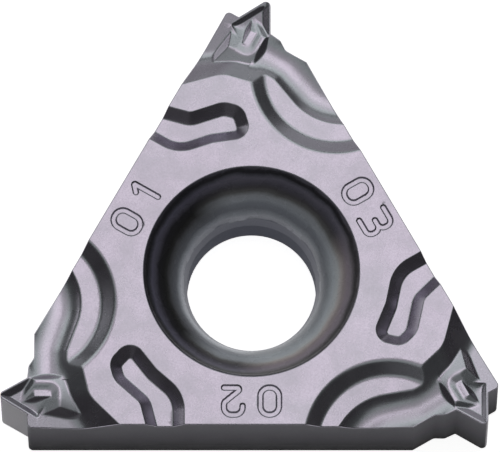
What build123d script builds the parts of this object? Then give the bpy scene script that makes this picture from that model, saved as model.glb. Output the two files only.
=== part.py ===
from build123d import *

import os
from math import cos, radians, sin, tan

os.makedirs("parts", exist_ok=True)

# A laydown threading insert in millimetres: one piece of coated carbide with three identical cutting corners.
# The origin lies on the hole's axis in the underside, and the land is the top face.
inscribed_circle = 9.525
thickness = 3.52
corner_count = 3
corner_angle = 60
first_corner_turn = -30

# Screw hole: a straight bore below a tapered throat and a bulging seat for the screw's head
bore_diameter = 3.92
bore_length = 1.33
throat_diameter = 4.13
seat_diameter = 6.6
seat_depth = 1.76
seat_radius = 8.0
cutter_overrun = 1.0

# Tooth of a cutting corner, for a full 60 degree thread profile
pitch = 1.27
thread_angle = 60
tooth_inset = 0.965
crest_flat = pitch / 8
corner_inset = 1.469
tip_radius = 0.15
notch_radius = 0.05
shoulder_radius = 0.14

# Face beside the tooth: a short level stretch, then a step back to the side of the body
wiper_length = 0.36
wiper_drop = 0.035
step_length = 0.28
step_depth = 0.205
step_radius = 0.2
side_corner_radius = 0.05

# Places below are in the tooth's own frame: x across from its middle, y along it from the crest line.
# Floor plane of the corner, which also holds the tooth's edges
edge_depth = 0.31
edge_rise_across = 0.10
edge_rise_along = 0.14

# Bands that drop behind the tooth's two edges to a sunk floor
edge_land = 0.06
left_band_angle = 35
right_band_angle = 29
band_drop = 0.10
band_end = (-0.60, -0.36)
band_end_angle = 45

# Slope from the land down to the floor. Its rim is two straight lines with a rounded bend.
slope_bend = (-0.0625, -1.88)
slope_side_heading = 45.5
slope_side_angle = 40
slope_inner_heading = 13.5
slope_inner_angle = 28
slope_bend_radius = 0.5

# Chip breaker block behind the tooth
block_depth = 0.22
block_left = -0.3225
block_left_angle = 44.5
block_right = 0.4875
block_right_angle = 42
block_front = -0.22
block_front_angle = 25
block_rear_radius = 0.49
block_rear_center = -0.51
block_rear_angle = 16

# Pit in the block's top
pit_rear = -0.97
pit_rear_angle = 16.5
pit_left = -0.12
pit_left_angle = 9
pit_right = 0.37
pit_right_angle = 21

# Small ridge in the pit
ridge_depth = 0.28
ridge_left = -0.03
ridge_left_angle = 44
ridge_right = 0.135
ridge_right_angle = 12
ridge_rear = -0.70
ridge_rear_angle = 30
ridge_fall = -0.22
ridge_fall_angle = 20

# Crescent: a conical wall down to a ledge that falls slightly towards the side
crescent_center = (2.8675, -0.08)
crescent_radius = 2.58
crescent_wall_angle = 32
ledge_start = 1.0
ledge_depth = 0.23
ledge_fall = 0.026

# Trough: a channel from the block to the side of the body, rounder towards the land
trough_points = ((0.20, -0.63), (1.46, -0.63), (2.91, -1.10), (4.34, -0.37))
trough_bend_radii = (0.9, 1.3)
trough_start = 0.70
trough_depth = 0.38
trough_fall = 0.059
trough_inner_radius = 0.95
trough_outer_radius = 1.3
trough_height = 0.6
trough_step = 0.055

# Groove that opens on the side: its floor's outline, with x from the side and y from the hole's axis
groove_points = (
    (-0.45, 2.37),
    (0.83, 2.37),
    (1.50, 3.13),
    (2.18, 3.66),
    (1.88, 3.94),
    (1.57, 3.86),
    (0.86, 3.07),
    (-0.45, 2.73),
)
groove_radii = (0, 0.8, 0.9, 0.10, 0.14, 0.35, 0.7, 0)
groove_depth = 0.30
groove_wall_angle = 41.5

# Index numbers of the corners, pressed into the land at the middle of each side
digit_height = 0.84
digit_width = 0.56
digit_spacing = 1.10
digit_center = 4.035
digit_side_turn = 90
stroke_width = 0.18
stroke_depth = 0.05

# Values that follow from the sizes above
side = inscribed_circle / 2
flank_angle = thread_angle / 2
tooth_x = tooth_inset - side
crest = side / tan(radians(corner_angle / 2)) - corner_inset
tooth_half_base = (pitch - crest_flat) / 2
tooth_height = tooth_half_base / tan(radians(flank_angle))
turn_step = 360 / corner_count
reach = 2 * inscribed_circle
floor_plane = Plane(
    origin=(0, 0, -edge_depth), x_dir=(1, 0, edge_rise_across), z_dir=(-edge_rise_across, -edge_rise_along, 1)
)


def right_side_x(y):
    """X of the body's right side at height y of the corner's own frame."""
    heading = radians(turn_step / 2)
    return (side - y * sin(heading)) / cos(heading)


def toward(heading):
    return Vector(cos(radians(heading)), sin(radians(heading)))


def face_falling(x, y, depth, heading, angle):
    """Plane through a point below the land that falls at an angle towards a heading."""
    run = toward(heading) * sin(radians(angle))
    return Plane(origin=(x, y, -depth), z_dir=(run.X, run.Y, cos(radians(angle))))


def above(plane):
    """Everything near the corner that lies above a plane."""
    return plane * Box(reach, reach, reach, align=(Align.CENTER, Align.CENTER, Align.MIN))


def below(plane):
    return plane * Box(reach, reach, reach, align=(Align.CENTER, Align.CENTER, Align.MAX))


def rounded_face(points, radii):
    """Flat face with its corners rounded."""
    face = make_face(Polyline(*points, close=True))
    for point, radius in zip(points, radii):
        if radius:
            nearest = face.vertices().sort_by_distance(point)[0]
            face = fillet(nearest, radius)
    return face


def corner_outline():
    """Vertices and corner radii of one third of the outline, from side middle to side middle."""
    left_foot = tooth_x - tooth_half_base
    right_foot = tooth_x + tooth_half_base
    wiper_end = right_foot + wiper_length
    shelf = crest - step_depth
    return [
        ((-side, 0), 0),
        ((-side, crest), shoulder_radius),
        ((left_foot, crest), notch_radius),
        ((tooth_x, crest + tooth_height), tip_radius),
        ((right_foot, crest), notch_radius),
        ((wiper_end, crest - wiper_drop), step_radius),
        ((wiper_end + step_length, shelf), step_radius),
        ((right_side_x(shelf), shelf), side_corner_radius),
    ]


def body():
    """The prism with its outline, drawn from the corner frames."""
    points = []
    radii = []
    for index in range(corner_count):
        for point, radius in corner_outline():
            points.append(Vector(*point).rotate(Axis.Z, -index * turn_step))
            radii.append(radius)
    return Rot(0, 0, first_corner_turn) * extrude(rounded_face(points, radii), thickness)


def screw_hole():
    """Bore, throat and bulging seat as one turned cutter."""
    bore_radius = bore_diameter / 2
    seat_foot = (throat_diameter / 2, thickness - seat_depth)
    seat_top = (seat_diameter / 2, thickness)
    bottom = -cutter_overrun
    top = thickness + cutter_overrun
    profile = [
        Polyline((0, bottom), (bore_radius, bottom), (bore_radius, bore_length), seat_foot),
        RadiusArc(seat_foot, seat_top, seat_radius),
        Polyline(seat_top, (seat_diameter / 2, top), (0, top), (0, bottom)),
    ]
    return revolve(Plane.XZ * make_face(profile), Axis.Z)


def land():
    """What the slope leaves standing below its two faces."""
    faces = []
    for heading, angle in ((slope_side_heading, slope_side_angle), (slope_inner_heading, slope_inner_angle)):
        faces.append(face_falling(*slope_bend, 0, heading + 90, angle))
    solid = below(faces[0]) & below(faces[1])
    bend = solid.edges().sort_by_distance(Vector(*slope_bend))[0]
    return fillet(bend, slope_bend_radius)


def rake():
    """Space above the sunk floor behind the tooth's edges, drawn on the floor plane."""
    solid = above(Plane.XY.offset(-band_drop))
    for heading, angle in ((-flank_angle, left_band_angle), (180 + flank_angle, right_band_angle)):
        edge = Vector(0, tooth_height) + toward(heading) * edge_land
        solid &= above(face_falling(edge.X, edge.Y, 0, heading, angle))
    solid &= above(face_falling(*band_end, 0, 90 - flank_angle, band_end_angle))
    return floor_plane * solid


def recess():
    """Space above the slope and the corner's floor."""
    solid = above(floor_plane) + rake()
    step_plane = Plane(origin=(trough_start, 0, trough_step - trough_depth), z_dir=(trough_fall, 0, 1))
    right_half = (Align.MIN, Align.CENTER, Align.CENTER)
    right_zone = Pos(block_right, 0, 0) * Box(reach, reach, reach, align=right_half)
    solid -= below(step_plane) & right_zone
    return solid - land()


def pit():
    """Space above the pit in the block's top."""
    rear = above(face_falling(0, pit_rear, block_depth, 90, pit_rear_angle))
    left_fall = (-tan(radians(pit_left_angle)), tan(radians(pit_rear_angle)), 1)
    left = above(Plane(origin=(pit_left, pit_rear, -block_depth), z_dir=left_fall))
    right = above(face_falling(pit_right, 0, block_depth, 180, pit_right_angle))
    return (rear + left) & right


def ridge():
    faces = [
        face_falling(0, ridge_fall, ridge_depth, 90, ridge_fall_angle),
        face_falling(ridge_left, 0, ridge_depth, 180, ridge_left_angle),
        face_falling(ridge_right, 0, ridge_depth, 0, ridge_right_angle),
        face_falling(0, ridge_rear, ridge_depth, 270, ridge_rear_angle),
    ]
    solid = below(Plane.XY.offset(-ridge_depth))
    for face in faces:
        solid &= below(face)
    return solid


def block():
    """Raised block behind the tooth, with the pit and the ridge in its top."""
    top = Plane.XY.offset(-block_depth)
    spread = thickness / tan(radians(block_rear_angle))
    hanging = (Align.CENTER, Align.CENTER, Align.MAX)
    cone = Cone(block_rear_radius + spread, block_rear_radius, thickness, align=hanging)
    front_half = (Align.CENTER, Align.MIN, Align.CENTER)
    front = Pos(0, block_rear_center, 0) * Box(reach, reach, reach, align=front_half)
    solid = Pos(0, block_rear_center, -block_depth) * cone + (below(top) & front)
    solid &= below(face_falling(0, block_front, block_depth, 90, block_front_angle))
    solid -= pit()
    solid += ridge()
    solid &= below(face_falling(block_left, 0, block_depth, 180, block_left_angle))
    solid &= below(face_falling(block_right, 0, block_depth, 0, block_right_angle))
    return solid


def crescent():
    """Space above the conical wall and the ledge, on the land's side of the trough."""
    height = thickness / 4
    run = height / tan(radians(crescent_wall_angle))
    hanging = (Align.CENTER, Align.CENTER, Align.MAX)
    disc = Cone(crescent_radius - run, crescent_radius, height, align=hanging)
    ledge = Plane(origin=(ledge_start, 0, -ledge_depth), z_dir=(ledge_fall, 0, 1))
    return Pos(*crescent_center) * disc & above(ledge)


def trough():
    """Channel along its bent bottom line, which falls towards the side of the body."""
    points = [(x, y, -trough_depth - trough_fall * (x - trough_start)) for x, y in trough_points]
    path = Polyline(*points)
    for point, radius in zip(points[1:], trough_bend_radii):
        nearest = path.vertices().sort_by_distance(point)[0]
        path = fillet(nearest, radius)
    inner = -((trough_inner_radius**2 - (trough_inner_radius - trough_height) ** 2) ** 0.5)
    outer = (trough_outer_radius**2 - (trough_outer_radius - trough_height) ** 2) ** 0.5
    top = trough_height * 2
    outline = [
        RadiusArc((inner, trough_height), (0, 0), -trough_inner_radius),
        RadiusArc((0, 0), (outer, trough_height), -trough_outer_radius),
        Polyline((outer, trough_height), (outer, top), (inner, top), (inner, trough_height)),
    ]
    section = Plane(origin=path @ 0, x_dir=(0, 1, 0), z_dir=path % 0) * make_face(outline)
    return sweep(section, path)


def groove():
    """Slot with a flat floor and sloping walls that opens into the side of the body."""
    floor = rounded_face([(x - side, y) for x, y in groove_points], groove_radii)
    return Pos(0, 0, -groove_depth) * extrude(floor, groove_depth, taper=groove_wall_angle - 90)


def digit_lines(value):
    """Centre lines of one digit, about its own middle."""
    w = digit_width / 2
    h = digit_height / 2
    if value == 0:
        bend = w * 0.8
        return [FilletPolyline((-w, -h), (w, -h), (w, h), (-w, h), radius=bend, close=True)]
    if value == 1:
        return [Polyline((-w / 2, h * 0.6), (0, h), (0, -h)), Line((-w / 2, -h), (w / 2, -h))]
    if value == 2:
        top = ThreePointArc((-w, h / 2), (0, h), (w, h / 2))
        return [top, Polyline((w, h / 2), (-w, -h), (w, -h))]
    upper = ThreePointArc((-w, h * 0.7), (w * 0.9, h / 2), (-w * 0.2, 0))
    lower = ThreePointArc((-w * 0.2, 0), (w, -h / 2), (-w, -h * 0.7))
    return [upper, lower]


def index_mark(number):
    """Two digits side by side, pressed into the land."""
    digits = (number // 10, number % 10)
    strokes = []
    for place, value in enumerate(digits):
        shift = (place - 0.5) * digit_spacing
        for line in digit_lines(value):
            strokes.append(Pos(shift, 0) * trace(line, stroke_width))
    cut = extrude(strokes[0], amount=stroke_depth, both=True)
    for stroke in strokes[1:]:
        cut += extrude(stroke, amount=stroke_depth, both=True)
    return cut


def insert_body():
    tooth_place = Pos(tooth_x, crest, 0)
    corner = tooth_place * (recess() + trough() + crescent() - block())
    corner_groove = groove()
    solid = body() - screw_hole()
    for index in range(corner_count):
        turn = Pos(0, 0, thickness) * Rot(0, 0, first_corner_turn + index * turn_step)
        solid -= turn * corner
        solid -= turn * corner_groove
        mark = Rot(0, 0, digit_side_turn) * (Pos(0, digit_center) * index_mark(index + 1))
        solid -= turn * mark
    return solid


if __name__ == "__main__":
    insert = insert_body()
    insert.label = "insert_body"
    export_step(insert, "parts/insert_body.step")
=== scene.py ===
import math

import bpy
import numpy as np
from mathutils import Matrix, Vector
from mathutils.geometry import delaunay_2d_cdt
from mathutils.kdtree import KDTree


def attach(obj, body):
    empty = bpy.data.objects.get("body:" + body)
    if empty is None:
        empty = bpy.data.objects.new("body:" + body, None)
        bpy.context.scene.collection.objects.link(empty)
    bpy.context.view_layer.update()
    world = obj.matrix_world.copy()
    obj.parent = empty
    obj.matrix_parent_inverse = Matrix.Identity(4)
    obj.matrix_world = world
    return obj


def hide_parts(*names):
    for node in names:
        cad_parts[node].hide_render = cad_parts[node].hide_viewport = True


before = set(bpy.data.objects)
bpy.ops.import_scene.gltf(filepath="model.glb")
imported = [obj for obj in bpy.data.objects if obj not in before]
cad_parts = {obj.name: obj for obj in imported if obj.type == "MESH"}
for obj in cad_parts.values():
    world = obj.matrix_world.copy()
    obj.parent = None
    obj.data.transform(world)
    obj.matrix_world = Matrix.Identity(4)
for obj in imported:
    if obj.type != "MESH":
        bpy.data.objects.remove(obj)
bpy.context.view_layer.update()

# The insert, in millimetres. Each corner is drawn in its own frame: the origin on the hole's axis,
# y along the side on the corner's left, and the tooth pointing along +y.
MM = 0.001
INSCRIBED_CIRCLE = 9.525
THICKNESS = 3.52
CORNER_COUNT = 3
FIRST_CORNER_TURN = -30.0
CORNER_INSET = 1.469

SIDE = INSCRIBED_CIRCLE / 2
CREST = SIDE / math.tan(math.radians(30)) - CORNER_INSET
TURN_STEP = 360 / CORNER_COUNT

# Tooth and the outline beside it
PITCH = 1.27
FLANK_ANGLE = 30.0
TOOTH_INSET = 0.965
TIP_RADIUS = 0.15
NOTCH_RADIUS = 0.05
SHOULDER_RADIUS = 0.14
WIPER_LENGTH = 0.36
WIPER_DROP = 0.035
STEP_LENGTH = 0.28
STEP_DEPTH = 0.205
STEP_RADIUS = 0.2
SIDE_CORNER_RADIUS = 0.05
TOOTH_X = TOOTH_INSET - SIDE
TOOTH_HALF_BASE = PITCH * 7 / 16
TOOTH_HEIGHT = TOOTH_HALF_BASE / math.tan(math.radians(FLANK_ANGLE))
TIP_Y = CREST + TOOTH_HEIGHT
EDGE_HONE = 0.03

# Screw hole: the seat's steepness at depths below the land, in degrees from level
BORE_RADIUS = 1.96
BORE_LENGTH = 1.33
BORE_CHAMFER = 0.03
THROAT_RADIUS = 2.065
SEAT_TOP_RADIUS = 3.246
SEAT_DEPTH = 1.76
SEAT_STEEPNESS = [(0.0, 64.0), (0.12, 56.0), (0.5, 51.0), (0.9, 48.0), (1.3, 54.0), (1.76, 62.0)]
LIP_RADIUS = 0.06
THROAT_EDGE = (0.008, 0.03)
BORE_EDGE = 0.02

# Steps of the mesh
OUTLINE_STEP = 0.03
ARC_STEP = math.radians(7)
COARSE_CELL = 0.64
FINEST_CELL = 0.0125
FLATNESS = 0.0016
GRID_REACH = 8.309
INSERT_REACH = 9.5
RIM_CLEARANCE = 0.012
HOLE_CLEARANCE = 0.02
HOLE_POINTS = 288
EDGE_STEPS = 4

# Widths over which neighbouring faces of the relief run into each other
LAND_BLEND = 0.02
LEDGE_BLEND = 0.05
TROUGH_BLEND = 0.04
RIGHT_SIDE_BLEND = 0.05
GROOVE_BLEND = 0.03
RIDGE_BLEND = 0.03
LEFT_BAND_BLEND = 0.5
BAND_BLEND = 0.08

# Parts of a corner's own frame that hold the whole relief and its groove
CORNER_RIGHT = 1.6
CORNER_REAR = 1.9
CORNER_MARGIN = 1.0
GROOVE_RIGHT = -2.0
GROOVE_TOP = 4.6

# Tooth edges and recess lie on one plane, given in the tooth's frame
EDGE_DEPTH = 0.31
EDGE_RISE_X = 0.10
EDGE_RISE_Y = 0.14

# Chip groove behind the tooth's edges
EDGE_LAND = 0.06
LEFT_BAND_WIDTH = 0.145
RIGHT_BAND_WIDTH = 0.18
BAND_DROP = 0.10
BAND_ROUNDING = 0.12
BAND_END = (-0.60, -0.36)
BAND_END_WIDTH = 0.10

# Slope from the land down to the recess
SLOPE_BEND = (-0.0625, -1.88)
SLOPE_SIDE_HEADING = 45.5
SLOPE_SIDE_ANGLE = 40.0
SLOPE_INNER_HEADING = 13.5
SLOPE_INNER_ANGLE = 28.0
SLOPE_BLEND = 0.09
SLOPE_FOOT = 0.26
SLOPE_FOOT_RIGHT = 0.10
SLOPE_FOOT_SPAN = 0.6

# Block behind the tooth with its pit and ridge
BLOCK_DEPTH = 0.22
BLOCK_LEFT = -0.3225
BLOCK_LEFT_ANGLE = 44.5
BLOCK_RIGHT = 0.4875
BLOCK_RIGHT_ANGLE = 42.0
BLOCK_FRONT = -0.22
BLOCK_FRONT_ANGLE = 25.0
REAR_CENTER = -0.51
REAR_RADIUS = 0.49
BLOCK_REAR_ANGLE = 16.0
PIT_REAR = -0.97
PIT_REAR_ANGLE = 16.5
PIT_LEFT = -0.12
PIT_LEFT_ANGLE = 9.0
PIT_RIGHT = 0.37
PIT_RIGHT_ANGLE = 21.0
PIT_ROUNDING = 0.07
RIDGE_DEPTH = 0.28
RIDGE_LEFT = -0.03
RIDGE_LEFT_ANGLE = 44.0
RIDGE_RIGHT = 0.135
RIDGE_RIGHT_ANGLE = 12.0
RIDGE_REAR = -0.70
RIDGE_REAR_ANGLE = 30.0
RIDGE_FALL = -0.22
RIDGE_FALL_ANGLE = 20.0
CREASE = 0.025
VALLEY = 0.045

# Crescent and its ledge
CRESCENT = (2.8675, -0.08)
CRESCENT_RADIUS = 2.58
CRESCENT_WALL = 0.43
LEDGE_X = 1.0
LEDGE_DEPTH = 0.23
LEDGE_FALL = 0.026

# Trough behind the right edge: bottom line in the tooth's frame
TROUGH_POINTS = [(0.20, -0.63), (1.46, -0.63), (2.91, -1.10), (4.34, -0.37)]
TROUGH_BENDS = [0.9, 1.3]
TROUGH_X = 0.70
TROUGH_DEPTH = 0.38
TROUGH_FALL = 0.059
TROUGH_INNER_RADIUS = 0.95
TROUGH_OUTER_RADIUS = 1.3
TROUGH_STEP = 0.055
TROUGH_ARC_SHARE = 0.98

# Groove that opens on the side: floor outline in the corner's frame, measured from the side
GROOVE_POINTS = [
    (-0.45, 2.37), (0.83, 2.37), (1.50, 3.13), (2.18, 3.66),
    (1.88, 3.94), (1.57, 3.86), (0.86, 3.07), (-0.45, 2.73),
]
GROOVE_BENDS = [0.8, 0.9, 0.10, 0.14, 0.35, 0.7]
GROOVE_DEPTH = 0.30
GROOVE_WALL = 0.34

# Index numbers pressed beside the hole
MARK_RADIUS = 4.035
MARK_HEIGHT = 0.84
MARK_WIDTH = 0.56
MARK_SPACING = 1.1
MARK_HALF_STROKE = 0.10
MARK_WALL = 0.045
MARK_DEPTH = 0.05
MARK_ANGLES = [(150.0, "01"), (270.0, "02"), (30.0, "03")]

# The ground flank, painted lighter as painted light from the left, keeps this far from the tooth's middle
# and from the crest line
FLANK_MARGIN = 0.02


def slope_of(degrees):
    return math.tan(math.radians(degrees))


def unit(degrees):
    return np.array([math.cos(math.radians(degrees)), math.sin(math.radians(degrees))])


def turned(x, y, degrees):
    """Coordinates turned about the hole's axis."""
    c, s = unit(degrees)
    return c * x - s * y, s * x + c * y


def cross(a, b):
    return a[0] * b[1] - a[1] * b[0]


def smooth_max(a, b, width):
    """The larger of two depths, with the crease between them rounded."""
    mix = np.clip(0.5 + 0.5 * (a - b) / width, 0, 1)
    return b + (a - b) * mix + width * mix * (1 - mix)


def smooth_min(a, b, width):
    return -smooth_max(-a, -b, width)


# Paths
def filleted(points, radii):
    """Straight runs and arcs of a path with rounded bends."""
    pts = [np.array(p, float) for p in points]
    parts = []
    start = pts[0]
    for before, bend, after, radius in zip(pts, pts[1:], pts[2:], radii):
        a = (before - bend) / np.linalg.norm(before - bend)
        b = (after - bend) / np.linalg.norm(after - bend)
        half = math.acos(np.clip(np.dot(a, b), -1, 1)) / 2
        reach = radius / math.tan(half)
        centre = bend + (a + b) / np.linalg.norm(a + b) * radius / math.sin(half)
        enter, leave = bend + a * reach, bend + b * reach
        parts.append(("line", start, enter))
        parts.append(("arc", centre, radius, enter - centre, leave - centre))
        start = leave
    parts.append(("line", start, pts[-1]))
    return parts


def path_distance(x, y, parts):
    """Distance to a path, and the side: positive on the left of its direction."""
    best = np.full(np.shape(x), 1e9)
    side = np.ones(np.shape(x))
    for part in parts:
        if part[0] == "line":
            _, a, b = part
            d = b - a
            t = np.clip(((x - a[0]) * d[0] + (y - a[1]) * d[1]) / np.dot(d, d), 0, 1)
            distance = np.hypot(x - a[0] - t * d[0], y - a[1] - t * d[1])
            where = np.sign(d[0] * (y - a[1]) - d[1] * (x - a[0]))
        else:
            _, centre, radius, a, b = part
            turn = np.sign(cross(a, b))
            qx, qy = x - centre[0], y - centre[1]
            inside = (turn * (a[0] * qy - a[1] * qx) >= 0) & (turn * (qx * b[1] - qy * b[0]) >= 0)
            ring = np.hypot(qx, qy)
            ends = np.minimum(np.hypot(qx - a[0], qy - a[1]), np.hypot(qx - b[0], qy - b[1]))
            distance = np.where(inside, np.abs(ring - radius), ends)
            where = np.sign(radius - ring) * turn
        nearer = distance < best
        best = np.where(nearer, distance, best)
        side = np.where(nearer, where, side)
    return best, side


def in_tooth_frame(points):
    return [(TOOTH_X + x, CREST + y) for x, y in points]


trough_path = filleted(in_tooth_frame(TROUGH_POINTS), TROUGH_BENDS)
groove_path = filleted([(x - SIDE, y) for x, y in GROOVE_POINTS], GROOVE_BENDS)


# Relief of one corner
def corner_depth(x, y):
    """Depth below the land, in the corner's own frame."""
    tx, ty = x - TOOTH_X, y - CREST

    # Slope and recess
    side_way, inner_way = unit(SLOPE_SIDE_HEADING + 90), unit(SLOPE_INNER_HEADING + 90)
    bx, by = tx - SLOPE_BEND[0], ty - SLOPE_BEND[1]
    side_slope = (bx * side_way[0] + by * side_way[1]) * slope_of(SLOPE_SIDE_ANGLE)
    inner_slope = (bx * inner_way[0] + by * inner_way[1]) * slope_of(SLOPE_INNER_ANGLE)
    slope = smooth_max(side_slope, inner_slope, SLOPE_BLEND)
    floor = EDGE_DEPTH - EDGE_RISE_X * tx - EDGE_RISE_Y * ty + chip_groove(tx, ty)
    bottom = TROUGH_DEPTH + TROUGH_FALL * (tx - TROUGH_X)
    floor = np.where(tx > BLOCK_RIGHT, np.minimum(floor, bottom - TROUGH_STEP), floor)
    foot = SLOPE_FOOT + (SLOPE_FOOT_RIGHT - SLOPE_FOOT) * np.clip(0.5 + tx / SLOPE_FOOT_SPAN, 0, 1)
    depth = smooth_max(smooth_min(slope, floor, foot), np.zeros(np.shape(x)), LAND_BLEND)

    # Trough and crescent
    s, side = path_distance(x, y, trough_path)
    radius = np.where(side > 0, TROUGH_OUTER_RADIUS, TROUGH_INNER_RADIUS)
    reach = np.minimum(s, radius * TROUGH_ARC_SHARE)
    channel = bottom - radius + np.sqrt(radius**2 - reach**2)
    ledge = LEDGE_DEPTH + LEDGE_FALL * (tx - LEDGE_X)
    ring = np.hypot(tx - CRESCENT[0], ty - CRESCENT[1])
    crescent = smooth_min((CRESCENT_RADIUS - ring) / CRESCENT_WALL * ledge, ledge, LEDGE_BLEND)
    right_zone = smooth_max(channel, crescent, TROUGH_BLEND)
    depth = smooth_max(depth, right_zone, RIGHT_SIDE_BLEND)

    depth = smooth_min(depth, block_depth(tx, ty), VALLEY)

    # Groove
    near = (y < GROOVE_TOP) & (x < GROOVE_RIGHT)
    if near.any():
        s, side = path_distance(x[near], y[near], groove_path)
        ramp = GROOVE_DEPTH * (1 - np.maximum(-side * s, -1) / GROOVE_WALL)
        groove = smooth_min(ramp, np.full(s.shape, GROOVE_DEPTH), GROOVE_BLEND)
        depth[near] = smooth_max(depth[near], groove, LAND_BLEND)
    return depth


def chip_groove(tx, ty):
    """Drop behind the land along both edges of the tooth."""
    c, s = math.cos(math.radians(FLANK_ANGLE)), math.sin(math.radians(FLANK_ANGLE))
    from_left = tx * c + (TOOTH_HEIGHT - ty) * s - EDGE_LAND
    from_right = -tx * c + (TOOTH_HEIGHT - ty) * s - EDGE_LAND
    from_end = (tx - BAND_END[0]) * s + (ty - BAND_END[1]) * c
    left = smooth_min(from_left / LEFT_BAND_WIDTH, from_end / BAND_END_WIDTH, LEFT_BAND_BLEND)
    t = smooth_min(left, from_right / RIGHT_BAND_WIDTH, BAND_BLEND)
    return BAND_DROP * smooth_max(smooth_min(t, 1.0, BAND_ROUNDING), 0.0, BAND_ROUNDING)


def block_depth(tx, ty):
    """Block behind the tooth, with the pit and the small ridge in it."""
    top = np.full(np.shape(tx), BLOCK_DEPTH)
    behind = np.hypot(tx, ty - REAR_CENTER) - REAR_RADIUS
    rear = BLOCK_DEPTH + np.where(ty < REAR_CENTER, behind, -1) * slope_of(BLOCK_REAR_ANGLE)
    top = smooth_max(top, rear, CREASE)
    from_rear = (ty - PIT_REAR) * slope_of(PIT_REAR_ANGLE)
    from_rear += np.maximum(PIT_LEFT - tx, 0) * slope_of(PIT_LEFT_ANGLE)
    from_right = (PIT_RIGHT - tx) * slope_of(PIT_RIGHT_ANGLE)
    pit = BLOCK_DEPTH + smooth_min(from_rear, from_right, PIT_ROUNDING)
    top = smooth_max(top, pit, CREASE)
    front = BLOCK_DEPTH + (ty - BLOCK_FRONT) * slope_of(BLOCK_FRONT_ANGLE)
    top = smooth_max(top, front, CREASE)
    ridge = RIDGE_DEPTH + np.maximum(ty - RIDGE_FALL, 0) * slope_of(RIDGE_FALL_ANGLE)
    ridge = smooth_max(ridge, RIDGE_DEPTH + (RIDGE_LEFT - tx) * slope_of(RIDGE_LEFT_ANGLE), RIDGE_BLEND)
    ridge = smooth_max(ridge, RIDGE_DEPTH + (tx - RIDGE_RIGHT) * slope_of(RIDGE_RIGHT_ANGLE), RIDGE_BLEND)
    ridge = smooth_max(ridge, RIDGE_DEPTH + (RIDGE_REAR - ty) * slope_of(RIDGE_REAR_ANGLE), RIDGE_BLEND)
    top = smooth_min(top, ridge, CREASE)
    left = BLOCK_DEPTH + (BLOCK_LEFT - tx) * slope_of(BLOCK_LEFT_ANGLE)
    right = BLOCK_DEPTH + (tx - BLOCK_RIGHT) * slope_of(BLOCK_RIGHT_ANGLE)
    return smooth_max(smooth_max(top, left, CREASE), right, CREASE)


# Index numbers
def digit_strokes(digit):
    """Centre lines of a digit, drawn about its middle."""
    w, h = MARK_WIDTH / 2, MARK_HEIGHT / 2
    if digit == "0":
        points = [(0, h), (w, h), (w, -h), (-w, -h), (-w, h), (0, h)]
        return filleted(points, [w * 0.95] * 4)
    if digit == "1":
        return filleted([(-w * 0.6, h * 0.55), (w * 0.15, h), (w * 0.15, -h)], [0.02])
    if digit == "2":
        points = [(-w, h * 0.35), (-w, h), (w, h), (w, h * 0.1), (-w, -h), (w, -h)]
        return filleted(points, [w * 0.8, w * 0.8, w * 0.5, 0.06])
    upper = filleted([(-w, h), (w, h), (w, 0), (-w * 0.2, 0)], [h * 0.45, h * 0.45])
    lower = filleted([(-w * 0.2, 0), (w, 0), (w, -h), (-w, -h)], [h * 0.45, h * 0.45])
    return upper + lower


def mark_distance(x, y):
    """Distance to the nearest stroke of the index numbers."""
    best = np.full(np.shape(x), 1e9)
    for angle, text in MARK_ANGLES:
        up = unit(angle)
        across, along = x * up[1] - y * up[0], x * up[0] + y * up[1]
        for index, digit in enumerate(text):
            u = across - (index - (len(text) - 1) / 2) * MARK_SPACING
            v = along - MARK_RADIUS
            near = (np.abs(u) < MARK_WIDTH) & (np.abs(v) < MARK_HEIGHT)
            if near.any():
                s, _ = path_distance(u[near], v[near], digit_strokes(digit))
                best[near] = np.minimum(best[near], s)
    return best


def relief(x, y):
    """Depth below the land anywhere on the insert's top, in the insert's frame."""
    depth = np.zeros(np.shape(x))
    for corner in range(CORNER_COUNT):
        cx, cy = turned(x, y, -(FIRST_CORNER_TURN + corner * TURN_STEP))
        near = (cy > CORNER_REAR) & (cx > -SIDE - CORNER_MARGIN) & (cx < CORNER_RIGHT)
        if near.any():
            depth[near] = np.maximum(depth[near], corner_depth(cx[near], cy[near]))
    t = np.clip((MARK_HALF_STROKE - mark_distance(x, y)) / MARK_WALL, 0, 1)
    return depth + MARK_DEPTH * t * t * (3 - 2 * t)


def relief_normals(x, y, step=0.004):
    """Upward normals of the top at given places."""
    dx = (relief(x + step, y) - relief(x - step, y)) / (2 * step)
    dy = (relief(x, y + step) - relief(x, y - step)) / (2 * step)
    normals = np.stack([dx, dy, np.ones(np.shape(x))], -1)
    return normals / np.linalg.norm(normals, axis=-1, keepdims=True)


# Outline
def right_side_x(y):
    heading = math.radians(TURN_STEP / 2)
    return (SIDE - y * math.sin(heading)) / math.cos(heading)


def corner_outline():
    """Vertices and corner radii of one third of the outline."""
    left_foot = TOOTH_X - TOOTH_HALF_BASE
    right_foot = TOOTH_X + TOOTH_HALF_BASE
    wiper_end = right_foot + WIPER_LENGTH
    shelf = CREST - STEP_DEPTH
    return [
        ((-SIDE, CREST), SHOULDER_RADIUS),
        ((left_foot, CREST), NOTCH_RADIUS),
        ((TOOTH_X, TIP_Y), TIP_RADIUS),
        ((right_foot, CREST), NOTCH_RADIUS),
        ((wiper_end, CREST - WIPER_DROP), STEP_RADIUS),
        ((wiper_end + STEP_LENGTH, shelf), STEP_RADIUS),
        ((right_side_x(shelf), shelf), SIDE_CORNER_RADIUS),
    ]


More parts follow.
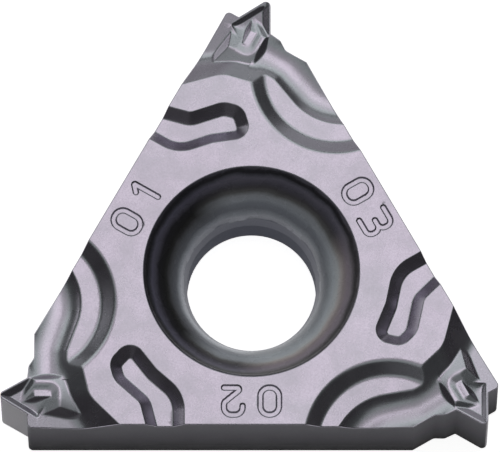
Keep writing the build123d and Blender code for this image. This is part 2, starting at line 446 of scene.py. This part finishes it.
def outline_samples():
    """Points along the rounded outline, clockwise from above, with outward normals."""
    corners = []
    for corner in range(CORNER_COUNT):
        for (x, y), radius in corner_outline():
            corners.append((np.array(turned(x, y, FIRST_CORNER_TURN - corner * TURN_STEP)), radius))
    arcs = []
    count = len(corners)
    for index in range(count):
        before = corners[index - 1][0]
        bend, radius = corners[index]
        after = corners[(index + 1) % count][0]
        a = (before - bend) / np.linalg.norm(before - bend)
        b = (after - bend) / np.linalg.norm(after - bend)
        half = math.acos(np.clip(np.dot(a, b), -1, 1)) / 2
        middle = (a + b) / np.linalg.norm(a + b)
        reach = radius / math.tan(half)
        centre = bend + middle * radius / math.sin(half)
        arcs.append((centre, radius, bend + a * reach, bend + b * reach, cross(-a, b) < 0))
    points, normals = [], []
    for index, (centre, radius, enter, leave, convex) in enumerate(arcs):
        a = math.atan2(*(enter - centre)[::-1])
        b = math.atan2(*(leave - centre)[::-1])
        sweep = (b - a + math.pi) % (2 * math.pi) - math.pi
        steps = max(2, math.ceil(abs(sweep) / ARC_STEP))
        for k in range(steps + 1):
            angle = a + sweep * k / steps
            direction = np.array([math.cos(angle), math.sin(angle)])
            points.append(centre + radius * direction)
            normals.append(direction if convex else -direction)
        start, end = leave, arcs[(index + 1) % count][2]
        length = np.linalg.norm(end - start)
        heading = (end - start) / length
        steps = max(1, math.ceil(length / OUTLINE_STEP))
        for k in range(1, steps):
            points.append(start + (end - start) * k / steps)
            normals.append(np.array([-heading[1], heading[0]]))
    return np.array(points), np.array(normals)


def seat_profile():
    """Radius, depth and steepness along the seat, from its top to the bore."""
    depths = np.linspace(0, SEAT_DEPTH, 37)
    known, steepness = zip(*SEAT_STEEPNESS)
    angles = np.radians(np.interp(depths, known, steepness))
    middle = (1 / np.tan(angles[1:]) + 1 / np.tan(angles[:-1])) / 2 * np.diff(depths)
    run = np.concatenate([[0], np.cumsum(middle)])
    radii = SEAT_TOP_RADIUS - run * (SEAT_TOP_RADIUS - THROAT_RADIUS) / run[-1]
    return radii, depths, angles


# Mesh of the top
def adaptive_points():
    """Grid points that lie closer together where the relief bends."""
    steps = int(round(2 * GRID_REACH / COARSE_CELL))
    base = -GRID_REACH + COARSE_CELL * np.arange(steps)
    gx, gy = np.meshgrid(base, base)
    cells = np.stack([gx.ravel(), gy.ravel()], 1)
    size = COARSE_CELL
    found = []
    offsets = np.linspace(0, 1, 5)
    ox, oy = [o.ravel() for o in np.meshgrid(offsets, offsets)]
    while len(cells):
        x = cells[:, :1] + ox * size
        y = cells[:, 1:] + oy * size
        z = relief(x, y)
        z00, z10, z01, z11 = z[:, 0], z[:, 4], z[:, 20], z[:, 24]
        flat = (
            z00[:, None] * (1 - ox) * (1 - oy) + z10[:, None] * ox * (1 - oy)
            + z01[:, None] * (1 - ox) * oy + z11[:, None] * ox * oy
        )
        bent = np.abs(z - flat).max(1) > FLATNESS
        on_insert = np.hypot(*(cells + size / 2).T) < INSERT_REACH
        split = bent & on_insert & (size / 2 >= FINEST_CELL)
        keep = cells[~split]
        for cx, cy in ((0, 0), (1, 0), (0, 1), (1, 1), (0.5, 0.5)):
            found.append(keep + np.array([cx, cy]) * size)
        children = cells[split]
        size /= 2
        cells = np.concatenate([children + np.array([cx, cy]) * size for cx in (0, 1) for cy in (0, 1)])
    points = np.concatenate(found)
    return np.unique(np.round(points, 5), axis=0)


def inside_polygon(points, polygon):
    """Whether each point is inside a closed polygon."""
    inside = np.zeros(len(points), bool)
    x, y = points[:, 0], points[:, 1]
    for (ax, ay), (bx, by) in zip(polygon, np.roll(polygon, -1, axis=0)):
        if ay == by:
            continue
        inside ^= ((ay > y) != (by > y)) & (x < (bx - ax) * (y - ay) / (by - ay) + ax)
    return inside


def clear_of(points, others, gap):
    """The points that keep a gap from the others."""
    tree = KDTree(len(others))
    for index, (px, py) in enumerate(others.tolist()):
        tree.insert((px, py, 0), index)
    tree.balance()
    keep = [tree.find((px, py, 0))[2] > gap for px, py in points.tolist()]
    return points[np.array(keep)]


def filled(points, loops):
    """Triangles between an outer loop and an inner loop, with the points' first places in order."""
    edges = []
    first = 0
    for count in loops:
        edges += [(first + i, first + (i + 1) % count) for i in range(count)]
        first += count
    corners = [Vector(p) for p in points.tolist()]
    verts, _, faces, origin, _, _ = delaunay_2d_cdt(corners, edges, [], 0, 1e-9, True)
    xy = np.array([tuple(v) for v in verts])
    tris = np.array([f for f in faces if len(f) == 3])
    middle = xy[tris].mean(1)
    outer = points[:loops[0]]
    inner = points[loops[0]:loops[0] + loops[1]]
    tris = tris[inside_polygon(middle, outer) & ~inside_polygon(middle, inner)]
    a, b, c = xy[tris[:, 0]], xy[tris[:, 1]], xy[tris[:, 2]]
    area = (b[:, 0] - a[:, 0]) * (c[:, 1] - a[:, 1]) - (b[:, 1] - a[:, 1]) * (c[:, 0] - a[:, 0])
    tris[area < 0] = tris[area < 0][:, ::-1]
    place = {o[0]: i for i, o in enumerate(origin) if o}
    return xy, tris, place


def ground_lit_flanks(x, y):
    """1 on the left flank of each tooth, which is ground after pressing and painted lighter as painted
    light from the left.
    """
    mask = np.zeros(len(x), np.float32)
    for corner in range(CORNER_COUNT):
        cx, cy = turned(x, y, -(FIRST_CORNER_TURN + corner * TURN_STEP))
        mask[(cy > CREST + FLANK_MARGIN) & (cx < TOOTH_X - FLANK_MARGIN)] = 1
    return mask


def build_insert():
    outline, normals = outline_samples()
    rim = outline - normals * EDGE_HONE
    angles = np.arange(HOLE_POINTS) * 2 * math.pi / HOLE_POINTS
    circle = np.stack([np.cos(angles), np.sin(angles)], 1)
    radii, depths, steepness = seat_profile()
    lip_run = LIP_RADIUS * math.sin(steepness[0])
    seat_top = SEAT_TOP_RADIUS + lip_run
    hole = circle * seat_top

    points = adaptive_points()
    points = points[inside_polygon(points, rim)]
    points = points[np.hypot(points[:, 0], points[:, 1]) > seat_top + HOLE_CLEARANCE]
    points = clear_of(points, np.concatenate([rim, hole]), RIM_CLEARANCE)
    n_rim, n_hole = len(rim), len(hole)
    xy, tris, place = filled(np.concatenate([rim, hole, points]), [n_rim, n_hole])

    top_z = THICKNESS - relief(xy[:, 0], xy[:, 1])
    co = [np.column_stack([xy, top_z])]
    no = [relief_normals(xy[:, 0], xy[:, 1])]
    rim_ids = [place[i] for i in range(n_rim)]
    hole_ids = [place[n_rim + i] for i in range(n_hole)]
    faces_out = tris.tolist()
    total = len(xy)

    def add_ring(positions, vectors):
        nonlocal total
        co.append(positions)
        no.append(vectors)
        ids = list(range(total, total + len(positions)))
        total += len(positions)
        return ids

    def join(a, b):
        count = len(a)
        for i in range(count):
            j = (i + 1) % count
            faces_out.append([a[i], a[j], b[j], b[i]])

    # Honed edge, wall and bottom edge, from the rim outwards and down
    rim_z = top_z[rim_ids]
    rim_no = no[0][rim_ids]
    wall_no = np.column_stack([normals, np.zeros(n_rim)])
    last = rim_ids
    for k in range(1, EDGE_STEPS + 1):
        angle = math.pi / 2 * k / EDGE_STEPS
        place_xy = rim + normals * EDGE_HONE * math.sin(angle)
        place_z = rim_z - EDGE_HONE * (1 - math.cos(angle))
        way = rim_no * math.cos(angle) + wall_no * math.sin(angle)
        way /= np.linalg.norm(way, axis=1, keepdims=True)
        ring = add_ring(np.column_stack([place_xy, place_z]), way)
        join(last, ring)
        last = ring
    for k in range(EDGE_STEPS + 1):
        angle = math.pi / 2 * k / EDGE_STEPS
        place_xy = rim + normals * EDGE_HONE * math.cos(angle)
        place_z = np.full(n_rim, EDGE_HONE * (1 - math.sin(angle)))
        way = wall_no * math.cos(angle) + np.array([0, 0, -1.0]) * math.sin(angle)
        ring = add_ring(np.column_stack([place_xy, place_z]), way)
        join(last, ring)
        last = ring
    bottom_rim = last

    # Lip, seat and bore, from the hole's rim inwards and down
    rows = []
    for k in range(1, 5):
        angle = steepness[0] * k / 5
        rows.append((seat_top - LIP_RADIUS * math.sin(angle), LIP_RADIUS * (1 - math.cos(angle)), angle))
    lip_depth = LIP_RADIUS * (1 - math.cos(steepness[0]))
    for radius, depth, angle in zip(radii, depths, steepness):
        rows.append((radius, max(depth, lip_depth), angle))
    throat_end = THICKNESS - BORE_LENGTH
    throat_angle = math.atan2(throat_end - SEAT_DEPTH, THROAT_RADIUS - BORE_RADIUS)
    rows.append((THROAT_RADIUS - THROAT_EDGE[0], SEAT_DEPTH + THROAT_EDGE[1], throat_angle))
    rows.append((BORE_RADIUS, throat_end, throat_angle))
    rows.append((BORE_RADIUS, throat_end + BORE_EDGE, math.pi / 2))
    rows.append((BORE_RADIUS, THICKNESS - BORE_CHAMFER, math.pi / 2))
    rows.append((BORE_RADIUS + BORE_CHAMFER, THICKNESS, math.pi * 0.75))
    last = hole_ids
    for radius, depth, angle in rows:
        position = np.column_stack([circle * radius, np.full(HOLE_POINTS, THICKNESS - depth)])
        vector = np.column_stack([-circle * math.sin(angle), np.full(HOLE_POINTS, math.cos(angle))])
        ring = add_ring(position, vector)
        join(last, ring)
        last = ring
    bottom_hole = last

    # Flat underside between the two bottom edges
    ids = bottom_rim + bottom_hole
    all_co = np.concatenate(co)
    under, tris, place = filled(all_co[ids][:, :2], [n_rim, n_hole])
    back = {spot: ids[index] for index, spot in place.items()}
    faces_out += [[back[i] for i in tri[::-1]] for tri in tris.tolist()]

    mesh = bpy.data.meshes.new("insert")
    mesh.from_pydata((all_co * MM).tolist(), [], faces_out)
    mesh.update()
    mesh.shade_smooth()
    mesh.normals_split_custom_set_from_vertices(np.concatenate(no).tolist())
    # Mask of the left tooth flanks, which the material paints lighter as painted light
    ground = mesh.attributes.new("ground", "FLOAT", "POINT")
    ground.data.foreach_set("value", ground_lit_flanks(all_co[:, 0], all_co[:, 1]))
    return mesh


mesh = build_insert()
insert = bpy.data.objects.new("insert", mesh)
bpy.context.scene.collection.objects.link(insert)
print("BUILD", len(mesh.vertices), "vertices", sum(len(p.vertices) - 2 for p in mesh.polygons), "triangles")


# Material
class Nodes:
    """Short calls for one material's nodes."""

    def __init__(self, name):
        self.material = bpy.data.materials.new(name)
        self.material.use_nodes = True
        self.tree = self.material.node_tree
        self.tree.nodes.clear()
        self.output = self.add("ShaderNodeOutputMaterial")

    def add(self, kind, **settings):
        node = self.tree.nodes.new(kind)
        for key, value in settings.items():
            setattr(node, key, value)
        return node

    def feed(self, socket, value):
        if isinstance(value, bpy.types.NodeSocket):
            self.tree.links.new(value, socket)
        else:
            socket.default_value = value

    def noise(self, place, scale, detail=2.0, roughness=0.5):
        node = self.add("ShaderNodeTexNoise")
        self.feed(node.inputs["Vector"], place)
        self.feed(node.inputs["Scale"], scale)
        self.feed(node.inputs["Detail"], detail)
        self.feed(node.inputs["Roughness"], roughness)
        return node.outputs["Fac"]

    def maths(self, operation, a, b=0.0, c=0.0):
        node = self.add("ShaderNodeMath", operation=operation)
        for socket, value in zip(node.inputs, (a, b, c)):
            self.feed(socket, value)
        return node.outputs[0]

    def span(self, value, low, high, to_low, to_high):
        node = self.add("ShaderNodeMapRange")
        for socket, item in zip(node.inputs, (value, low, high, to_low, to_high)):
            self.feed(socket, item)
        return node.outputs[0]

    def ramp(self, value, stops):
        """Colour that runs through the stops, given as radius in millimetres and colour."""
        node = self.add("ShaderNodeValToRGB")
        low, high = stops[0][0], stops[-1][0]
        elements = node.color_ramp.elements
        while len(elements) < len(stops):
            elements.new(0.5)
        for element, (radius, shade) in zip(elements, stops):
            element.position = (radius - low) / (high - low)
            element.color = shade
        self.feed(node.inputs[0], self.span(value, low * MM, high * MM, 0.0, 1.0))
        return node.outputs[0]

    def mix(self, factor, a, b):
        node = self.add("ShaderNodeMix", data_type="RGBA")
        self.feed(node.inputs[0], factor)
        self.feed(node.inputs[6], a)
        self.feed(node.inputs[7], b)
        return node.outputs[2]


# Colours by slope: painted sheen on level and tilted faces, painted shade on steep faces
LEVEL_SHEEN_COLOUR = (0.56, 0.505, 0.60, 1)
TILTED_SHEEN_COLOUR = (0.47, 0.51, 0.54, 1)
STEEP_SHADE_COLOUR = (0.34, 0.315, 0.375, 1)
WALL_COLOUR = (0.47, 0.46, 0.515, 1)
# Near black at the foot of the walls: painted shade by the floor
WALL_FOOT_SHADE_COLOUR = (0.012, 0.0115, 0.013, 1)
# Lighter colour of the left tooth flanks: painted light from the left
GROUND_FLANK_LIT_COLOUR = (0.74, 0.72, 0.77, 1)
# Seat colours by radius on the shaded, half-lit and lit sides: painted reflections and painted shade
SEAT_SHADE_SIDE_REFLECTIONS = [
    (1.96, (0.30, 0.31, 0.38, 1)), (2.06, (0.34, 0.35, 0.42, 1)),
    (2.08, (0.62, 0.64, 0.70, 1)), (2.14, (0.78, 0.80, 0.87, 1)), (2.20, (0.62, 0.66, 0.72, 1)),
    (2.30, (0.27, 0.285, 0.32, 1)), (2.45, (0.16, 0.165, 0.18, 1)), (2.55, (0.055, 0.055, 0.055, 1)),
    (2.65, (0.03, 0.03, 0.03, 1)), (2.82, (0.035, 0.034, 0.04, 1)), (2.93, (0.13, 0.125, 0.165, 1)),
    (3.03, (0.17, 0.165, 0.225, 1)), (3.10, (0.07, 0.07, 0.09, 1)), (3.15, (0.03, 0.03, 0.036, 1)),
    (3.20, (0.035, 0.034, 0.04, 1)), (3.25, (0.10, 0.095, 0.12, 1)),
]
SEAT_HALF_LIT_REFLECTIONS = [
    (1.96, (0.30, 0.31, 0.38, 1)), (2.06, (0.34, 0.35, 0.42, 1)),
    (2.08, (0.74, 0.76, 0.82, 1)), (2.14, (0.88, 0.90, 0.96, 1)), (2.20, (0.66, 0.70, 0.75, 1)),
    (2.30, (0.37, 0.39, 0.44, 1)), (2.40, (0.40, 0.43, 0.48, 1)), (2.50, (0.56, 0.60, 0.65, 1)),
    (2.60, (0.53, 0.56, 0.60, 1)), (2.70, (0.22, 0.22, 0.22, 1)), (2.80, (0.13, 0.125, 0.135, 1)),
    (2.90, (0.15, 0.145, 0.18, 1)), (3.03, (0.24, 0.23, 0.29, 1)), (3.10, (0.14, 0.14, 0.17, 1)),
    (3.15, (0.04, 0.04, 0.046, 1)), (3.20, (0.055, 0.052, 0.062, 1)), (3.25, (0.20, 0.195, 0.235, 1)),
]
SEAT_LIT_SIDE_REFLECTIONS = [
    (1.96, (0.30, 0.31, 0.38, 1)), (2.06, (0.34, 0.35, 0.42, 1)),
    (2.08, (0.62, 0.64, 0.68, 1)), (2.20, (0.44, 0.46, 0.50, 1)), (2.30, (0.44, 0.47, 0.51, 1)),
    (2.40, (0.58, 0.63, 0.67, 1)), (2.50, (0.72, 0.78, 0.83, 1)), (2.62, (0.80, 0.84, 0.86, 1)),
    (2.71, (0.72, 0.67, 0.66, 1)), (2.80, (0.50, 0.44, 0.45, 1)), (2.92, (0.44, 0.38, 0.44, 1)),
    (3.00, (0.40, 0.36, 0.41, 1)), (3.08, (0.22, 0.20, 0.22, 1)), (3.14, (0.09, 0.085, 0.09, 1)),
    (3.20, (0.09, 0.085, 0.09, 1)), (3.25, (0.18, 0.17, 0.19, 1)),
]

SEAT_PAINT_EDGE = (3.30 * MM, 3.26 * MM)

coating = Nodes("coated_carbide")
coordinates = coating.add("ShaderNodeTexCoord")
position = coordinates.outputs["Object"]
split = coating.add("ShaderNodeSeparateXYZ")
coating.feed(split.inputs[0], coordinates.outputs["Normal"])
upright = split.outputs["Z"]

grain = coating.noise(position, 22000.0, 2.0)
mottle = coating.noise(position, 1500.0, 3.0)
cloud = coating.noise(position, 260.0, 2.0)
# Colour by slope is painted sheen and shade: lighter lilac on level faces, greenish on tilted faces, darker
# grey on steep faces
sheen_tilt = coating.span(upright, 0.998, 0.955, 0.0, 1.0)
steep_shade = coating.span(upright, 0.95, 0.80, 0.0, 1.0)
wall = coating.span(upright, 0.35, 0.10, 0.0, 1.0)
colour = coating.mix(sheen_tilt, LEVEL_SHEEN_COLOUR, TILTED_SHEEN_COLOUR)
colour = coating.mix(steep_shade, colour, STEEP_SHADE_COLOUR)
patch = coating.span(mottle, 0.3, 0.7, -0.18, 0.18)
patch = coating.maths("ADD", coating.span(cloud, 0.3, 0.7, 0.0, 0.3), patch)
colour = coating.mix(patch, colour, (0.50, 0.50, 0.55, 1))

# Seat: painted reflections and painted shade in rings by radius, lighter on the side that faces the light
flat_place = coating.add("ShaderNodeVectorMath", operation="MULTIPLY")
coating.feed(flat_place.inputs[0], position)
coating.feed(flat_place.inputs[1], (1, 1, 0))
from_axis = coating.add("ShaderNodeVectorMath", operation="LENGTH")
coating.feed(from_axis.inputs[0], flat_place.outputs[0])
waver = coating.span(mottle, 0.3, 0.7, -0.03 * MM, 0.03 * MM)
radius = coating.maths("ADD", from_axis.outputs["Value"], waver)
painted_seat_rings = coating.ramp(radius, SEAT_SHADE_SIDE_REFLECTIONS)
# Painted light: the half-lit and lit rings take over on the seat's sides that face the light
for way, low, high, stops in ((-5, -0.55, -0.25, SEAT_HALF_LIT_REFLECTIONS), (-35, 0.34, 0.58, SEAT_LIT_SIDE_REFLECTIONS)):
    toward_light = coating.add("ShaderNodeVectorMath", operation="DOT_PRODUCT")
    coating.feed(toward_light.inputs[0], coordinates.outputs["Normal"])
    coating.feed(toward_light.inputs[1], (*-unit(way), 0.0))
    side = coating.span(toward_light.outputs["Value"], low, high, 0.0, 1.0)
    painted_seat_rings = coating.mix(side, painted_seat_rings, coating.ramp(radius, stops))
in_seat = coating.span(from_axis.outputs["Value"], *SEAT_PAINT_EDGE, 0.0, 1.0)
colour = coating.mix(in_seat, colour, painted_seat_rings)

# Walls: darker towards the foot as painted shade by the floor, and lighter on the ground left flanks of the
# teeth as painted light
height = coating.add("ShaderNodeSeparateXYZ")
coating.feed(height.inputs[0], position)
up_wall = coating.span(height.outputs["Z"], 0.0, 3.4 * MM, 0.0, 1.0)
wall_shade_and_light = coating.mix(up_wall, WALL_FOOT_SHADE_COLOUR, WALL_COLOUR)
# Left tooth flanks: glossier where ground, and painted lighter as painted light from the left
ground = coating.add("ShaderNodeAttribute", attribute_name="ground")
wall_shade_and_light = coating.mix(ground.outputs["Fac"], wall_shade_and_light, GROUND_FLANK_LIT_COLOUR)
outside = coating.maths("MULTIPLY", wall, coating.span(in_seat, 0.0, 1.0, 1.0, 0.0))
colour = coating.mix(outside, colour, wall_shade_and_light)
speck = coating.span(grain, 0.25, 0.75, 0.92, 1.08)
vary = coating.add("ShaderNodeVectorMath", operation="SCALE")
coating.feed(vary.inputs[0], colour)
coating.feed(vary.inputs["Scale"], speck)
colour = vary.outputs[0]

shader = coating.add("ShaderNodeBsdfPrincipled")
coating.feed(shader.inputs["Base Color"], colour)
off_wall = coating.span(wall, 0.0, 1.0, 1.0, 0.0)
metal = coating.maths("MULTIPLY", off_wall, coating.span(in_seat, 0.0, 1.0, 1.0, 0.12))
coating.feed(shader.inputs["Metallic"], metal)
gloss = coating.span(ground.outputs["Fac"], 0.0, 1.0, 0.02, 0.5)
seat_gloss = coating.span(metal, 0.0, 0.2, 0.0, 0.25)
coating.feed(shader.inputs["Specular IOR Level"], coating.maths("MAXIMUM", seat_gloss, gloss))
base_rough = coating.span(wall, 0.0, 1.0, 0.27, 0.60)
rough = coating.maths("ADD", base_rough, coating.span(mottle, 0.3, 0.7, -0.03, 0.03))
coating.feed(shader.inputs["Roughness"], rough)
bump = coating.add("ShaderNodeBump")
coating.feed(bump.inputs["Height"], grain)
coating.feed(bump.inputs["Strength"], 0.25)
coating.feed(bump.inputs["Distance"], 0.000004)
coating.feed(shader.inputs["Normal"], bump.outputs[0])
coating.feed(coating.output.inputs[0], shader.outputs[0])
insert.data.materials.append(coating.material)

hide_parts("insert_body")
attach(insert, "root")

# Floor: white to the camera and in reflections, with the insert's shadow on it
FLOOR_HALF = 0.016
FLOOR_GLOW = 0.9
floor_mesh = bpy.data.meshes.new("floor")
floor_corners = [(x * FLOOR_HALF, y * FLOOR_HALF, 0) for x, y in ((-1, -1), (1, -1), (1, 1), (-1, 1))]
floor_mesh.from_pydata(floor_corners, [], [(0, 1, 2, 3)])
floor = bpy.data.objects.new("floor", floor_mesh)
bpy.context.scene.collection.objects.link(floor)
paper = Nodes("floor_paper")
diffuse = paper.add("ShaderNodeBsdfDiffuse")
paper.feed(diffuse.inputs["Color"], (0.8, 0.8, 0.8, 1))
ray = paper.add("ShaderNodeLightPath")
seen = paper.maths("MAXIMUM", ray.outputs["Is Camera Ray"], ray.outputs["Is Glossy Ray"])
seen = paper.maths("MAXIMUM", seen, ray.outputs["Is Transmission Ray"])
glow = paper.add("ShaderNodeEmission")
paper.feed(glow.inputs["Strength"], paper.maths("MULTIPLY", seen, FLOOR_GLOW))
both = paper.add("ShaderNodeAddShader")
paper.feed(both.inputs[0], diffuse.outputs[0])
paper.feed(both.inputs[1], glow.outputs[0])
paper.feed(paper.output.inputs[0], both.outputs[0])
floor.data.materials.append(paper.material)

world = bpy.data.worlds.new("studio")
bpy.context.scene.world = world
world.use_nodes = True
world.node_tree.nodes["Background"].inputs["Color"].default_value = (1, 1, 1, 1)
world.node_tree.nodes["Background"].inputs["Strength"].default_value = 0.062


def softbox(name, place, size, radiance, facing=None):
    """Area lamp of a given brightness that looks at the insert, or along a given way."""
    lamp = bpy.data.lights.new(name, "AREA")
    lamp.shape = "RECTANGLE"
    lamp.size, lamp.size_y = size
    lamp.energy = radiance * size[0] * size[1] * math.pi
    item = bpy.data.objects.new(name, lamp)
    item.location = place
    back = Vector(facing) * -1 if facing else Vector(place)
    item.rotation_euler = back.to_track_quat("Z", "Y").to_euler()
    bpy.context.scene.collection.objects.link(item)


softbox("overhead", (0.070, 0.132, 0.50), (0.26, 0.21), 0.84, (0, 0, -1))
softbox("overhead_right", (0.30, 0.14, 0.50), (0.20, 0.22), 0.55, (0, 0, -1))
softbox("halo", (-0.11, -0.04, 0.60), (0.60, 0.62), 0.33, (0, 0, -1))
softbox("back_top", (0.0, 0.455, 0.50), (0.85, 0.45), 0.80, (0, 0, -1))
softbox("left", (-0.51, 0.29, 0.05), (0.38, 0.27), 0.92)
softbox("rear", (0.02, 0.60, 0.10), (0.75, 0.40), 0.42)
softbox("front", (-0.168, -0.462, 0.344), (0.32, 0.26), 0.10)

# Camera, tilted from straight above, with a long lens
TILT = math.radians(13.74)
DISTANCE = 0.450
FOCAL_LENGTH = 1070.5
OFFSET = (0.0445, -1.368)
camera_data = bpy.data.cameras.new("camera")
camera_data.lens = FOCAL_LENGTH
camera_data.sensor_width = 36
camera_data.clip_start, camera_data.clip_end = 0.01, 10
camera = bpy.data.objects.new("camera", camera_data)
right_way = Vector((1, 0, 0))
up_way = Vector((0, math.cos(TILT), math.sin(TILT)))
back_way = Vector((0, -math.sin(TILT), math.cos(TILT)))
aim = Vector((0, 0, THICKNESS * MM)) - right_way * OFFSET[0] * MM - up_way * OFFSET[1] * MM
place = aim + back_way * DISTANCE
camera.matrix_world = Matrix((
    (right_way.x, up_way.x, back_way.x, place.x),
    (right_way.y, up_way.y, back_way.y, place.y),
    (right_way.z, up_way.z, back_way.z, place.z),
    (0, 0, 0, 1),
))
bpy.context.scene.collection.objects.link(camera)
bpy.context.scene.camera = camera
bpy.context.scene.view_settings.view_transform = "Standard"
